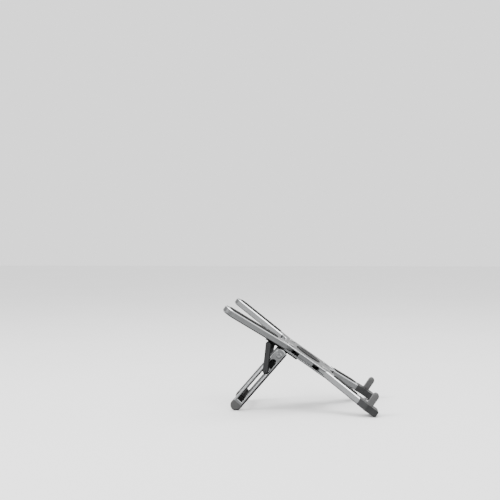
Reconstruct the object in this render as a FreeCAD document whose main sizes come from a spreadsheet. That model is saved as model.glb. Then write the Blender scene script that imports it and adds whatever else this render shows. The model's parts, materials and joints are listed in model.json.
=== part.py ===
"""Folding aluminium laptop stand: a sandwich hub with four swing-out arms, a slotted folding leg and a strut.

Frame: +X is the stand's right, -Y its front, +Z up.  The origin is the bottom centre of the open stand.
The "top frame" lies on the underside of the arms and is tilted: its x is +X, its y runs to the rear along
the arms, and its z is the height above the underside.  Every sub-part is drawn in a simple frame of its own
(top, arm, cap, leg or strut frame), and its Placement carries it to where it sits.  Lengths are in mm.
"""
import FreeCAD, Part
import math
import os
import re
import Sketcher

Vector = FreeCAD.Vector
doc = FreeCAD.newDocument("laptop_stand")

# ---------------------------------------------------------------- driving dimensions
DIMENSIONS = {
    # attitude of the top and where the top frame starts
    "tilt": 34.8,
    "top_shift": -1.93,
    "toe_facet": 0.6,
    # hub sandwich
    "hub_height": 7.2,
    "plate_thick": 1.6,
    "plate_edge": 0.6,
    "lobe_radius": 12.5,
    "pin_spread": 22.0,
    "web_half": 12.0,
    "web_reach": 29.3,
    "pin_radius": 3.0,
    "pin_head_radius": 4.6,
    "pin_head_height": 0.7,
    "core_half": 9.0,
    "core_length": 27.5,
    "core_width": 32.0,
    "pad_height": 1.0,
    "hub_pad_radius": 15.0,
    "pad_edge": 0.4,
    "screw_radius": 1.25,
    "screw_head_radius": 2.3,
    "screw_head_height": 0.8,
    "screw_grip": 2.0,
    "washer_sheet": 0.25,
    "arm_washer_radius": 7.6,
    # arms
    "arm_angle": 34.0,
    "arm_width": 19.0,
    "arm_low": 0.3,
    "arm_edge": 0.8,
    "arm_under": 1.8,
    "root_radius": 12.9,
    "tongue_low": 1.95,
    "tongue_thick": 3.3,
    "tongue_width": 16.0,
    "rear_reach": 82.5,
    "front_reach": 65.0,
    "running_gap": 0.05,
    "strip_width": 10.0,
    "strip_depth": 0.8,
    "rear_strip_length": 58.0,
    "front_strip_start": 19.5,
    "front_strip_length": 24.0,
    # front caps with their lips
    "cap_rear": 66.5,
    "cap_front": 89.2,
    "cap_half": 11.5,
    "cap_corner": 2.0,
    "cap_edge": 0.7,
    "toe_slope_start": 87.2,
    "toe_slope_drop": 1.2,
    "end_tongue_length": 12.0,
    "end_tongue_reach": 60.0,
    "cap_screw_back": 3.5,
    "cap_screw_length": 4.0,
    "end_tongue_width": 11.0,
    "end_tongue_low": 2.6,
    "end_tongue_thick": 2.6,
    "lip_out": 63.0,
    "lip_rear": 74.5,
    "lip_thick": 6.4,
    "lip_half": 6.0,
    "lip_top": 21.5,
    "lip_corner": 3.0,
    "tab_thick": 2.6,
    "tab_half": 3.5,
    "tab_low": 1.2,
    "tab_top": 17.0,
    "foot_strip_half": 8.0,
    "foot_strip_rear": 82.5,
    "foot_strip_front": 88.9,
    "foot_strip_deep": 2.4,
    "cap_relief": 0.5,
    # leg
    "leg_y": 25.47,
    "leg_z": -8.2,
    "leg_lean": 6.17,
    "leg_inner": 30.5,
    "leg_thick": 4.0,
    "leg_width": 12.0,
    "leg_crown": 7.9,
    "leg_round": 2.0,
    "slot_edge": 1.6,
    "slot_half": 2.25,
    "slot_top": 7.1,
    "slot_foot": 6.6,
    "bumper_length": 3.9,
    "rod_radius": 2.0,
    "rod_head_radius": 3.0,
    "rod_head_height": 0.5,
    "foot_radius": 5.8,
    "foot_height": 5.8,
    "foot_proud": 0.2,
    "foot_joint": 3.0,
    "foot_tongue_width": 7.0,
    "foot_tongue_thick": 2.0,
    "foot_tongue_end": 2.5,
    "foot_bar_rise": 8.55,
    "foot_bar_radius": 3.0,
    "foot_screw_length": 10.0,
    "foot_screw_head": 1.7,
    "top_bar_rise": 56.5,
    "top_bar_radius": 3.6,
    "lug_length": 7.0,
    # bracket under the hub that carries leg and strut
    "bracket_thick": 1.9,
    "bracket_front": 8.0,
    "bracket_rear": 47.0,
    "ear_inner": 26.0,
    "ear_thick": 3.5,
    "ear_radius": 5.4,
    "washer_thick": 0.5,
    "washer_radius": 4.6,
    "strut_ear_inner": 35.0,
    "strut_ear_thick": 1.8,
    "strut_ear_radius": 3.0,
    "strut_ear_front": 4.0,
    "strut_ear_deep": 5.0,
    # strut
    "strut_y": 38.94,
    "strut_z": -8.6,
    "strut_lean": 28.65,
    "strut_length": 23.67,
    "strut_inner": 37.1,
    "strut_thick": 2.5,
    "strut_width": 6.2,
    "strut_tail": 5.1,
    "link_edge": 1.1,
    "stub_radius": 1.4,
    "stub_head_radius": 2.0,
    "stub_head_height": 0.3,
    "slide_rod_radius": 0.8,
    "slide_head_radius": 1.5,
    "slide_head_height": 0.3,
}

sheet = doc.addObject("Spreadsheet::Sheet", "Dims")
for row, (alias, value) in enumerate(DIMENSIONS.items(), start=1):
    sheet.set("A%d" % row, alias)
    sheet.set("B%d" % row, repr(value))
    sheet.setAlias("B%d" % row, alias)
doc.recompute()

ALIAS = re.compile(r"\b(" + "|".join(DIMENSIONS) + r")\b")


def bind(text):
    """Turn a formula written with bare dimension names into a FreeCAD expression on the sheet."""
    return ALIAS.sub(r"Dims.\1", str(text))


# Frames as expressions.  SIDE is +1 on the right and -1 on the left.
TOP_Z = "(cap_front * sin(tilt) - toe_facet)"
TOP = "placement(vector(0; top_shift; %s); rotation(vector(1; 0; 0); tilt))" % TOP_Z
LEG_LENGTH = "((%s + leg_y * sin(tilt) + leg_z * cos(tilt) - foot_height) / cos(tilt + leg_lean))" % TOP_Z
LEG = TOP + " * placement(vector(0; leg_y; leg_z); rotation(vector(1; 0; 0); leg_lean))"
STRUT = TOP + " * placement(vector(0; strut_y; strut_z); rotation(vector(1; 0; 0); 0 - strut_lean))"
HUB_TOP = "(hub_height - plate_thick)"


def arm_frame(side, end):
    """Frame of one arm: origin on its pivot pin, y along the arm (end is +1 for rear, -1 for front)."""
    base = "vector(%d * pin_spread; %d * pin_spread; 0)" % (side, end)
    return TOP + " * placement(%s; rotation(vector(0; 0; 1); %d * arm_angle))" % (base, -side * end)


# ---------------------------------------------------------------- building helpers
made = []
count = {}
local_place = {}


def fresh(stem):
    """A new object name from a stem."""
    count[stem] = count.get(stem, 0) + 1
    return "%s_%d" % (stem, count[stem])


def box(x, y, z, size_x, size_y, size_z, before=""):
    """A box from its low corner and its sizes, all formulas."""
    item = doc.addObject("Part::Box", fresh("block"))
    item.setExpression("Length", bind(size_x))
    item.setExpression("Width", bind(size_y))
    item.setExpression("Height", bind(size_z))
    place = "placement(vector(%s; %s; %s); rotation(vector(0; 0; 1); 0))" % (x, y, z)
    local_place[item.Name] = before + place
    item.setExpression("Placement", bind(before + place))
    return item


TURNS = {"z": "rotation(vector(0; 0; 1); 0)", "x": "rotation(vector(0; 1; 0); 90)"}


def cylinder(x, y, z, radius, length, along="z"):
    """A cylinder from the centre of its low end, running along +z or +x."""
    item = doc.addObject("Part::Cylinder", fresh("round"))
    item.setExpression("Radius", bind(radius))
    item.setExpression("Height", bind(length))
    local_place[item.Name] = "placement(vector(%s; %s; %s); %s)" % (x, y, z, TURNS[along])
    item.setExpression("Placement", bind(local_place[item.Name]))
    return item


def fuse(*items):
    """The union of several objects."""
    item = doc.addObject("Part::MultiFuse", fresh("union"))
    item.Shapes = list(items)
    item.Refine = True
    return item


def cut(base, *tools):
    """The base with the tools taken away."""
    item = doc.addObject("Part::Cut", fresh("cut"))
    item.Base = base
    item.Tool = tools[0] if len(tools) == 1 else fuse(*tools)
    item.Refine = True
    return item


def common(first, second):
    """What two objects share."""
    item = doc.addObject("Part::Common", fresh("common"))
    item.Base = first
    item.Tool = second
    item.Refine = True
    return item


def ease(base, size, wanted, kind="Part::Chamfer"):
    """Chamfer or fillet the edges of the base that the wanted test accepts."""
    doc.recompute()
    edges = base.Shape.Edges
    chosen = [number for number, edge in enumerate(edges, start=1) if wanted(edge)]
    item = doc.addObject(kind, fresh("eased"))
    item.Base = base
    amount = sheet.get(size)
    item.Edges = [(number, amount, amount) for number in chosen]
    return item


def flat_at(height, tolerance=0.01):
    """Test for edges that lie in the plane z = height."""
    def wanted(edge):
        box_of = edge.BoundBox
        return abs(box_of.ZMin - height) < tolerance and abs(box_of.ZMax - height) < tolerance
    return wanted


def flat_at_x(place, tolerance=0.01):
    """Test for edges that lie in the plane x = place."""
    def wanted(edge):
        box_of = edge.BoundBox
        return abs(box_of.XMin - place) < tolerance and abs(box_of.XMax - place) < tolerance
    return wanted


def keep(item, name, frame):
    """Name a finished sub-part and place it by its frame; a bare primitive keeps its own place inside it."""
    item.Label = name
    if item.Name in local_place:
        frame = frame + " * " + local_place[item.Name]
    item.setExpression("Placement", bind(frame))
    made.append(item)
    return item


def mirrored_x(build):
    """The left and right copies of a builder that takes the side, as a list."""
    return [build(side) for side in (-1, 1)]


def side_start(side, inner, thick):
    """Low x of a slab that spans inner..inner+thick on the given side."""
    return inner if side > 0 else "(0 - %s - %s)" % (inner, thick)


def polygon_body(name, frame, plane, points, low, thick):
    """A PartDesign body: a closed sketch of straight lines, padded by thick from the offset low."""
    body = doc.addObject("PartDesign::Body", name)
    sketch = body.newObject("Sketcher::SketchObject", name + "_outline")
    origin_plane = [item for item in body.Origin.OriginFeatures if item.Role == plane][0]
    sketch.AttachmentSupport = [(origin_plane, "")]
    sketch.MapMode = "FlatFace"
    sketch.setExpression("AttachmentOffset.Base.z", bind(low))
    values = [[value_of(text) for text in point] for point in points]
    total = len(points)
    for index in range(total):
        start, end = values[index], values[(index + 1) % total]
        sketch.addGeometry(Part.LineSegment(Vector(*start, 0), Vector(*end, 0)))
    for index in range(total):
        sketch.addConstraint(Sketcher.Constraint("Coincident", index, 2, (index + 1) % total, 1))
    for index, point in enumerate(points):
        for kind, text, number in zip(("DistanceX", "DistanceY"), point, values[index]):
            spot = sketch.addConstraint(Sketcher.Constraint(kind, -1, 1, index, 1, number))
            sketch.setExpression("Constraints[%d]" % spot, bind(text))
    pad = body.newObject("PartDesign::Pad", name + "_pad")
    pad.Profile = sketch
    pad.setExpression("Length", bind(thick))
    sketch.Visibility = False
    if frame:
        keep(body, name, frame)
    return body


def value_of(text):
    """The number a formula gives with the sheet's present values, angles in degrees."""
    probe.setExpression("Placement.Base.x", bind(text))
    probe.recompute()
    return probe.Placement.Base.x


probe = doc.addObject("Part::Feature", "probe")


# ---------------------------------------------------------------- hub
CORNERS = [(side, end) for side in (-1, 1) for end in (-1, 1)]
HUB_SCREWS = [(-24, 0), (24, 0), (0, -22), (0, 4)]
BRACKET_SCREWS = [(-5, 14), (5, 14), (-5, 24), (5, 24)]
CORE_HEIGHT = "(hub_height - 2 * plate_thick)"


def pin_holes(low, radius):
    """Four round tools on the arm pins, 3 mm high."""
    spots = [("%d * pin_spread" % side, "%d * pin_spread" % end) for side, end in CORNERS]
    return [cylinder(x, y, low, radius, "3") for x, y in spots]


def screw_holes(places, low, length):
    """Round tools for the screw shanks at the given places."""
    return [cylinder(x, y, low, "screw_radius", length) for x, y in places]


def plate(low):
    """A hub plate: four round lobes joined by a wide and a long bar."""
    lobes = [
        cylinder("%d * pin_spread" % side, "%d * pin_spread" % end, low, "lobe_radius", "plate_thick")
        for side, end in CORNERS
    ]
    half = "(pin_spread + lobe_radius)"
    wide = box("0 - " + half, "0 - pin_spread", low, "2 * " + half, "2 * pin_spread", "plate_thick")
    long_bar = box("0 - web_half", "0 - web_reach", low, "2 * web_half", "2 * web_reach", "plate_thick")
    return cut(fuse(wide, long_bar, *lobes), *pin_holes(low + " - 0.5", "pin_radius"))


pin_girth = 2 * math.pi * sheet.pin_radius
top_plate = ease(plate(HUB_TOP), "plate_edge",
                 lambda e: flat_at(sheet.hub_height)(e) and abs(e.Length - pin_girth) > 0.1)
keep(top_plate, "hub_top_plate", TOP)

bottom_holes = screw_holes(HUB_SCREWS + BRACKET_SCREWS, "0 - 0.5", "plate_thick + 1")
keep(cut(plate("0"), *bottom_holes), "hub_bottom_plate", TOP)

core_long = box("0 - core_half", "0 - core_length", "plate_thick",
                "2 * core_half", "2 * core_length", CORE_HEIGHT)
core_wide = box("0 - core_width", "0 - core_half", "plate_thick",
                "2 * core_width", "2 * core_half", CORE_HEIGHT)
core_holes = screw_holes(HUB_SCREWS + BRACKET_SCREWS, "0", "plate_thick + screw_grip")
keep(cut(fuse(core_long, core_wide), *core_holes), "hub_core", TOP)

hub_pad = cylinder("0", "0", "hub_height", "hub_pad_radius", "pad_height")
hub_pad = ease(hub_pad, "pad_edge", flat_at(sheet.hub_height + sheet.pad_height))
keep(hub_pad, "hub_pad", TOP)


def screw(x, y, low, shank):
    """A pan-head screw: head below the given height, shank upwards from it."""
    head = cylinder(x, y, "%s - screw_head_height" % low, "screw_head_radius", "screw_head_height")
    return fuse(head, cylinder(x, y, low, "screw_radius", shank))


keep(fuse(*[screw(x, y, "0", "plate_thick + screw_grip") for x, y in HUB_SCREWS]), "hub_screws", TOP)
BRACKET_GRIP = "bracket_thick + plate_thick + screw_grip"
bracket_screws = [screw(x, y, "0 - bracket_thick", BRACKET_GRIP) for x, y in BRACKET_SCREWS]
keep(fuse(*bracket_screws), "bracket_screws", TOP)


def arm_pin(side, end):
    """A flanged pivot pin: shank through both plates, low flat head on top and bottom."""
    x = "%d * pin_spread" % side
    y = "%d * pin_spread" % end
    shank = cylinder(x, y, "0", "pin_radius", "hub_height")
    head = cylinder(x, y, "hub_height", "pin_head_radius", "pin_head_height")
    tail = cylinder(x, y, "0 - pin_head_height", "pin_head_radius", "pin_head_height")
    return fuse(shank, head, tail)


keep(fuse(*[arm_pin(side, end) for side, end in CORNERS]), "arm_pins", TOP)


def arm_washer(side, end, low):
    """A thin friction washer round an arm pin."""
    x = "%d * pin_spread" % side
    y = "%d * pin_spread" % end
    ring = cylinder(x, y, low, "arm_washer_radius", "washer_sheet")
    return cut(ring, cylinder(x, y, low + " - 1", "pin_radius", "3"))


WASHER_LOWS = ("plate_thick", HUB_TOP + " - washer_sheet")
arm_washers = [arm_washer(side, end, low) for side, end in CORNERS for low in WASHER_LOWS]
keep(fuse(*arm_washers), "arm_washers", TOP)


# ---------------------------------------------------------------- bracket, hinge rod and stubs
def ear(side, inner, thick, y, z, radius):
    """A hanging ear: a slab from the bracket web down to a round end about its pivot."""
    start = side_start(side, inner, thick)
    slab = box(start, "%s - %s" % (y, radius), z, thick, "2 * " + radius, "0 - bracket_thick / 2 - " + z)
    return fuse(slab, cylinder(start, y, z, radius, thick, "x"))


def strut_ear(side):
    """The outboard ear of the strut: a round end about its stub, with a shoulder in front under the wing."""
    start = side_start(side, "strut_ear_inner", "strut_ear_thick")
    shoulder = box(start, "strut_y - strut_ear_front", "0 - strut_ear_deep",
                   "strut_ear_thick", "strut_ear_front", "strut_ear_deep - bracket_thick / 2")
    hanger = ear(side, "strut_ear_inner", "strut_ear_thick", "strut_y", "strut_z", "strut_ear_radius")
    return fuse(hanger, shoulder)


web = box("0 - ear_inner - ear_thick", "bracket_front", "0 - bracket_thick",
          "2 * (ear_inner + ear_thick)", "bracket_rear - bracket_front", "bracket_thick")
wings = box("0 - strut_ear_inner - strut_ear_thick", "strut_y - strut_ear_front", "0 - bracket_thick",
            "2 * (strut_ear_inner + strut_ear_thick)", "bracket_rear - strut_y + strut_ear_front",
            "bracket_thick")
leg_ears = mirrored_x(lambda side: ear(side, "ear_inner", "ear_thick", "leg_y", "leg_z", "ear_radius"))
strut_ears = mirrored_x(strut_ear)
bores = [
    cylinder("0 - ear_inner - ear_thick - 1", "leg_y", "leg_z", "rod_radius",
             "2 * (ear_inner + ear_thick + 1)", "x"),
    cylinder("0 - strut_ear_inner - strut_ear_thick - 1", "strut_y", "strut_z", "stub_radius",
             "2 * (strut_ear_inner + strut_ear_thick + 1)", "x"),
]
bores += screw_holes(BRACKET_SCREWS, "0 - bracket_thick - 0.5", "bracket_thick + 1")
bores += [cylinder("%d * pin_spread" % side, "pin_spread", "0 - bracket_thick - 0.5", "pin_head_radius + 0.4",
                   "bracket_thick + 1") for side in (-1, 1)]
keep(cut(fuse(web, wings, *leg_ears, *strut_ears), *bores), "leg_bracket", TOP)

rod_half = "(leg_inner + leg_thick)"
rod = cylinder("0 - " + rod_half, "leg_y", "leg_z", "rod_radius", "2 * " + rod_half, "x")
rod_heads = [
    cylinder(rod_half if side > 0 else "0 - %s - rod_head_height" % rod_half, "leg_y", "leg_z",
             "rod_head_radius", "rod_head_height", "x")
    for side in (-1, 1)
]
keep(fuse(rod, *rod_heads), "hinge_rod", TOP)

spacer = cylinder("0 - ear_inner", "leg_y", "leg_z", "rod_radius + 1.8", "2 * ear_inner", "x")
spacer = cut(spacer, cylinder("0 - ear_inner - 1", "leg_y", "leg_z", "rod_radius", "2 * ear_inner + 2", "x"))
keep(spacer, "hinge_spacer", TOP)


def hinge_washer(side):
    """A friction washer between the bracket's ear and the leg's side plate."""
    start = side_start(side, "(ear_inner + ear_thick)", "washer_thick")
    ring = cylinder(start, "leg_y", "leg_z", "washer_radius", "washer_thick", "x")
    return cut(ring, cylinder(start + " - 1", "leg_y", "leg_z", "rod_radius", "washer_thick + 2", "x"))


keep(fuse(*mirrored_x(hinge_washer)), "hinge_washers", TOP)


def strut_stub(side):
    """A headed stub that the strut's link turns on, pressed into the bracket's outboard ear."""
    reach = "(strut_inner + strut_thick + 0.2)"
    length = "(%s - strut_ear_inner)" % reach
    start = side_start(side, "strut_ear_inner", length)
    head = side_start(side, reach, "stub_head_height")
    shank = cylinder(start, "strut_y", "strut_z", "stub_radius", length, "x")
    return fuse(shank, cylinder(head, "strut_y", "strut_z", "stub_head_radius", "stub_head_height", "x"))


keep(fuse(*mirrored_x(strut_stub)), "strut_stubs", TOP)


# ---------------------------------------------------------------- arms
SIDES = (("left", -1), ("right", 1))
STRIP_LOW = "hub_height - strip_depth"


def strip(start, length, end):
    """A round-ended silicone strip along an arm, with its bottom in the arm's recess."""
    first = "%d * %s" % (end, start)
    last = "%d * (%s + %s)" % (end, start, length)
    low_y = first if end > 0 else last
    height = "strip_depth + pad_height"
    middle = box("0 - strip_width / 2", low_y, STRIP_LOW, "strip_width", length, height)
    rounds = [cylinder("0", y, STRIP_LOW, "strip_width / 2", height) for y in (first, last)]
    return fuse(middle, *rounds)


def arm_root(end, length):
    """The bar of an arm with its tongue: the thick bar starts at an arc about the pivot pin."""
    low_y = "0" if end > 0 else "0 - (%s)" % length
    bar = box("0 - arm_width / 2", low_y, "arm_low", "arm_width", length, "hub_height - arm_low")
    bar = cut(bar, cylinder("0", "0", "0 - 1", "root_radius", "hub_height + 2"))
    tongue_y = "0" if end > 0 else "0 - root_radius - 2"
    tongue = box("0 - tongue_width / 2", tongue_y, "tongue_low",
                 "tongue_width", "root_radius + 2", "tongue_thick")
    eye = cylinder("0", "0", "tongue_low", "tongue_width / 2", "tongue_thick")
    return bar, fuse(tongue, eye)


def pin_bore():
    """The bore of an arm's tongue, with running clearance on its pin."""
    return cylinder("0", "0", "0", "pin_radius + running_gap", "hub_height")


def rear_strip():
    """The silicone strip of a rear arm, up to its tip."""
    return strip("(rear_reach - rear_strip_length)", "rear_strip_length", 1)


def rear_arm():
    """A rear arm: round tip, strip recess along its top."""
    bar, tongue = arm_root(1, "rear_reach")
    tip = cylinder("0", "rear_reach", "arm_low", "arm_width / 2", "hub_height - arm_low")
    arm = fuse(bar, tip)
    start = sheet.root_radius + 3
    arm = ease(arm, "arm_edge", lambda e: flat_at(sheet.hub_height)(e) and e.BoundBox.YMax > start)
    arm = ease(arm, "arm_under", lambda e: flat_at(sheet.arm_low)(e) and e.BoundBox.YMax > start, "Part::Fillet")
    return cut(fuse(arm, tongue), pin_bore(), rear_strip())


for side_name, side in SIDES:
    frame = arm_frame(side, 1)
    keep(rear_arm(), "rear_%s_arm" % side_name, frame)
    keep(rear_strip(), "rear_%s_pad" % side_name, frame)

# Where an arm's two long sides meet the rear face of the front cap, in the front arm's frame.
END_NEAR = "((cap_rear - pin_spread - arm_width / 2 * sin(arm_angle)) / cos(arm_angle))"
END_FAR = "((cap_rear - pin_spread + arm_width / 2 * sin(arm_angle)) / cos(arm_angle))"


CAP_SCREW_Y = "(cap_screw_back - end_tongue_reach)"


def end_tongue(before=""):
    """The tongue at the end of a front arm that the cap slides over."""
    return box("0 - end_tongue_width / 2", "0 - end_tongue_reach", "end_tongue_low",
               "end_tongue_width", "end_tongue_length", "end_tongue_thick", before)


def front_arm(side, name):
    """A front arm: its bar ends square to the object's front, with a tongue for the cap."""
    bar, tongue = arm_root(-1, END_FAR)
    outer = "%d * (arm_width / 2 + 1)" % side
    inner = "%d * (arm_width / 2 + 1)" % -side
    far, near = END_FAR, END_NEAR
    slope = "sin(arm_angle) / cos(arm_angle)"
    wedge_points = [
        (inner, "0 - %s + 1 * %s" % (near, slope)),
        (outer, "0 - %s - 1 * %s" % (far, slope)),
        (outer, "0 - %s - 20" % far),
        (inner, "0 - %s - 20" % far),
    ]
    wedge = polygon_body(name + "_end_wedge", "", "XY_Plane", wedge_points, "0 - 1", "hub_height + 2")
    bar = cut(bar, wedge)
    bar = ease(bar, "arm_edge", lambda e: (flat_at(sheet.hub_height)(e) or flat_at(sheet.arm_low)(e))
               and e.Length > 20)
    pocket = strip("front_strip_start", "front_strip_length", -1)
    shank = cylinder("0", CAP_SCREW_Y, "0", "screw_radius", "cap_screw_length")
    return cut(fuse(bar, tongue, end_tongue()), pin_bore(), pocket, shank)


# Plan of the cap: it takes over the arm's outline at its rear face and turns straight to the front.
ARM_AT_CAP = "(pin_spread + (cap_rear - pin_spread) * sin(arm_angle) / cos(arm_angle))"
ARM_HALF_AT_CAP = "(arm_width / 2 / cos(arm_angle))"
CAP_X = "(pin_spread + front_reach * sin(arm_angle))"
CAP_INNER = "(%s - cap_half)" % CAP_X
CAP_OUTER = "(%s + cap_half)" % CAP_X


def elbow(x_line, offset):
    """Distance ahead of the hub at which an arm side reaches the line x = x_line."""
    return "(pin_spread + (%s - pin_spread - (%s)) * cos(arm_angle) / sin(arm_angle))" % (x_line, offset)


def cap_outline(side):
    """The six corners of a front cap in the top frame."""
    corners = [
        ("(%s - %s)" % (ARM_AT_CAP, ARM_HALF_AT_CAP), "cap_rear"),
        ("(%s + %s)" % (ARM_AT_CAP, ARM_HALF_AT_CAP), "cap_rear"),
        (CAP_OUTER, elbow(CAP_OUTER, ARM_HALF_AT_CAP)),
        (CAP_OUTER, "cap_front"),
        (CAP_INNER, "cap_front"),
        (CAP_INNER, elbow(CAP_INNER, "0 - " + ARM_HALF_AT_CAP)),
    ]
    return [("%d * %s" % (side, x), "0 - " + y) for x, y in corners]


def facet_line(rise):
    """Where the level line at the given height over the desk meets the underside and the front face."""
    under = "(cap_front - (toe_facet + %s) / sin(tilt))" % rise
    front = "((toe_facet + %s) / cos(tilt))" % rise
    return under, front


def lip_tab(side):
    """The flat metal tab inside a lip, standing in the cap."""
    middle = "(lip_rear + lip_thick / 2)"
    return box("%d * lip_out - tab_half" % side, "0 - %s - tab_thick / 2" % middle, "tab_low",
               "2 * tab_half", "tab_thick", "tab_top - tab_low")


def foot_strip(side, name, frame):
    """The rubber strip under the front edge of a cap; its level facet rests on the desk."""
    under = facet_line("0")[0]
    at_front = "((foot_strip_front - %s) * sin(tilt) / cos(tilt))" % under
    points = [
        ("0 - foot_strip_rear", "0"),
        ("0 - " + under, "0"),
        ("0 - foot_strip_front", at_front),
        ("0 - foot_strip_front", "foot_strip_deep"),
        ("0 - foot_strip_rear", "foot_strip_deep"),
    ]
    return polygon_body(name, frame, "YZ_Plane", points, "%d * %s - foot_strip_half" % (side, CAP_X),
                        "2 * foot_strip_half")


def front_cap(side, name):
    """A front cap: arm socket, lip slot, sloping toe and a recess for the foot strip."""
    block = polygon_body(name + "_block", "", "XY_Plane", cap_outline(side), "0", "hub_height")
    block = ease(block, "cap_corner", lambda e: e.BoundBox.XLength < 0.01 and e.BoundBox.YLength < 0.01
                 and e.BoundBox.YMin < -sheet.cap_rear - 1, "Part::Fillet")
    block = ease(block, "cap_edge", lambda e: (flat_at(sheet.hub_height)(e) or flat_at(0)(e))
                 and e.BoundBox.YMin < -sheet.cap_rear - 0.01, "Part::Fillet")
    reach = "%d * %s - 20" % (side, CAP_X)
    slope = polygon_body(name + "_slope", "", "YZ_Plane", [
        ("0 - toe_slope_start", "hub_height"),
        ("0 - cap_front - 2.5", "hub_height - toe_slope_drop * 1.5"),
        ("0 - cap_front - 2.5", "hub_height + 2"),
        ("0 - toe_slope_start", "hub_height + 2"),
    ], reach, "40")
    under, front = facet_line("cap_relief")
    relief = polygon_body(name + "_relief", "", "YZ_Plane", [
        ("0 - %s + 2" % under, "0 - 2 * sin(tilt) / cos(tilt)"),
        ("0 - cap_front - 2", "%s + 2 * sin(tilt) / cos(tilt)" % front),
        ("0 - cap_front - 2", "0 - 5"),
        ("0 - %s + 2" % under, "0 - 5"),
    ], reach, "40")
    return cut(block, slope, relief)


for side_name, side in SIDES:
    frame = arm_frame(side, -1)
    arm_name = "front_%s_arm" % side_name
    cap_name = "front_%s_cap" % side_name
    arm = keep(front_arm(side, arm_name), arm_name, frame)
    keep(strip("front_strip_start", "front_strip_length", -1), "front_%s_pad" % side_name, frame)

    turn = "rotation(vector(0; 0; 1); %d * arm_angle)" % side
    in_top = "placement(vector(%d * pin_spread; 0 - pin_spread; 0); %s) * " % (side, turn)
    screw_bore = cylinder("0", CAP_SCREW_Y, "0 - 0.5", "screw_radius", "end_tongue_low + 1")
    screw_bore.setExpression("Placement", bind(in_top + local_place[screw_bore.Name]))
    strip_hole = foot_strip(side, cap_name + "_strip_recess", "")
    cap = cut(front_cap(side, cap_name), end_tongue(in_top), lip_tab(side), strip_hole, screw_bore)
    keep(cap, cap_name, TOP)
    foot_strip(side, "front_%s_foot" % side_name, TOP)
    keep(lip_tab(side), "front_%s_lip_core" % side_name, TOP)

    radius = "(lip_thick / 2)"
    middle_y = "(0 - lip_rear - lip_thick / 2)"
    low_x = "%d * lip_out - lip_half" % side
    blade = fuse(
        box(low_x, "0 - lip_rear - lip_thick", "hub_height", "2 * lip_half", "lip_thick",
            "lip_top - hub_height - " + radius),
        cylinder(low_x, middle_y, "lip_top - " + radius, radius, "2 * lip_half", "x"))
    rounds = [
        box(low_x, "0 - lip_rear - lip_thick - 1", "hub_height", "2 * lip_half", "lip_thick + 2",
            "lip_top - hub_height - lip_corner"),
        box(low_x + " + lip_corner", "0 - lip_rear - lip_thick - 1", "hub_height",
            "2 * (lip_half - lip_corner)", "lip_thick + 2", "lip_top - hub_height"),
    ]
    for end in (-1, 1):
        corner = cylinder("0", "0", "0", "lip_corner", "lip_thick + 2")
        corner.setExpression("Placement", bind(
            "placement(vector(%d * lip_out + %d * (lip_half - lip_corner); 0 - lip_rear + 1;"
            " lip_top - lip_corner); rotation(vector(1; 0; 0); 90))" % (side, end)))
        rounds.append(corner)
    keep(cut(common(blade, fuse(*rounds)), lip_tab(side)), "front_%s_lip" % side_name, TOP)
    keep(screw("0", CAP_SCREW_Y, "0", "cap_screw_length"), "front_%s_screw" % side_name, frame)


# ---------------------------------------------------------------- leg
FOOT_Z = "(0 - %s)" % LEG_LENGTH


def leg_plate(side):
    """A leg side plate: shallow crown over the hinge, long slot, tongue at the foot."""
    start = side_start(side, "leg_inner", "leg_thick")
    low = FOOT_Z + " + foot_joint"
    slab = box(start, "0 - leg_width / 2", low, "leg_thick", "leg_width", "0 - (%s)" % low)
    head = box(start, "0 - leg_width / 2", "0", "leg_thick", "leg_width", "2 * leg_crown")
    crown = common(head, cylinder(start, "0", "0", "leg_crown", "leg_thick", "x"))
    face = flat_at_x(side * (sheet.leg_inner + sheet.leg_thick))
    body = ease(fuse(slab, crown), "leg_round", lambda e: face(e) and e.BoundBox.ZMax > -60, "Part::Fillet")
    tongue = box(side_start(side, "(leg_inner + leg_thick / 2 - foot_tongue_thick / 2)", "foot_tongue_thick"),
                 "0 - foot_tongue_width / 2", FOOT_Z + " - foot_tongue_end", "foot_tongue_thick",
                 "foot_tongue_width", "foot_tongue_end + foot_joint")
    slot_low = FOOT_Z + " + slot_foot"
    slot = box(start + " - 1", "0 - slot_half", slot_low, "leg_thick + 2", "2 * slot_half",
               "0 - slot_top - slot_half - (%s)" % slot_low)
    slot_end = cylinder(start + " - 1", "0", "0 - slot_top - slot_half", "slot_half", "leg_thick + 2", "x")
    bore = cylinder(start + " - 1", "0", "0", "rod_radius + running_gap", "leg_thick + 2", "x")
    body = cut(fuse(body, tongue), slot, slot_end, bore)
    mouth = sheet.slot_half + 0.01
    return ease(body, "slot_edge", lambda e: face(e) and e.BoundBox.YMax < mouth and e.BoundBox.YMin > -mouth
                and e.BoundBox.ZMax < 0.01 - sheet.slot_top, "Part::Fillet")


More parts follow.
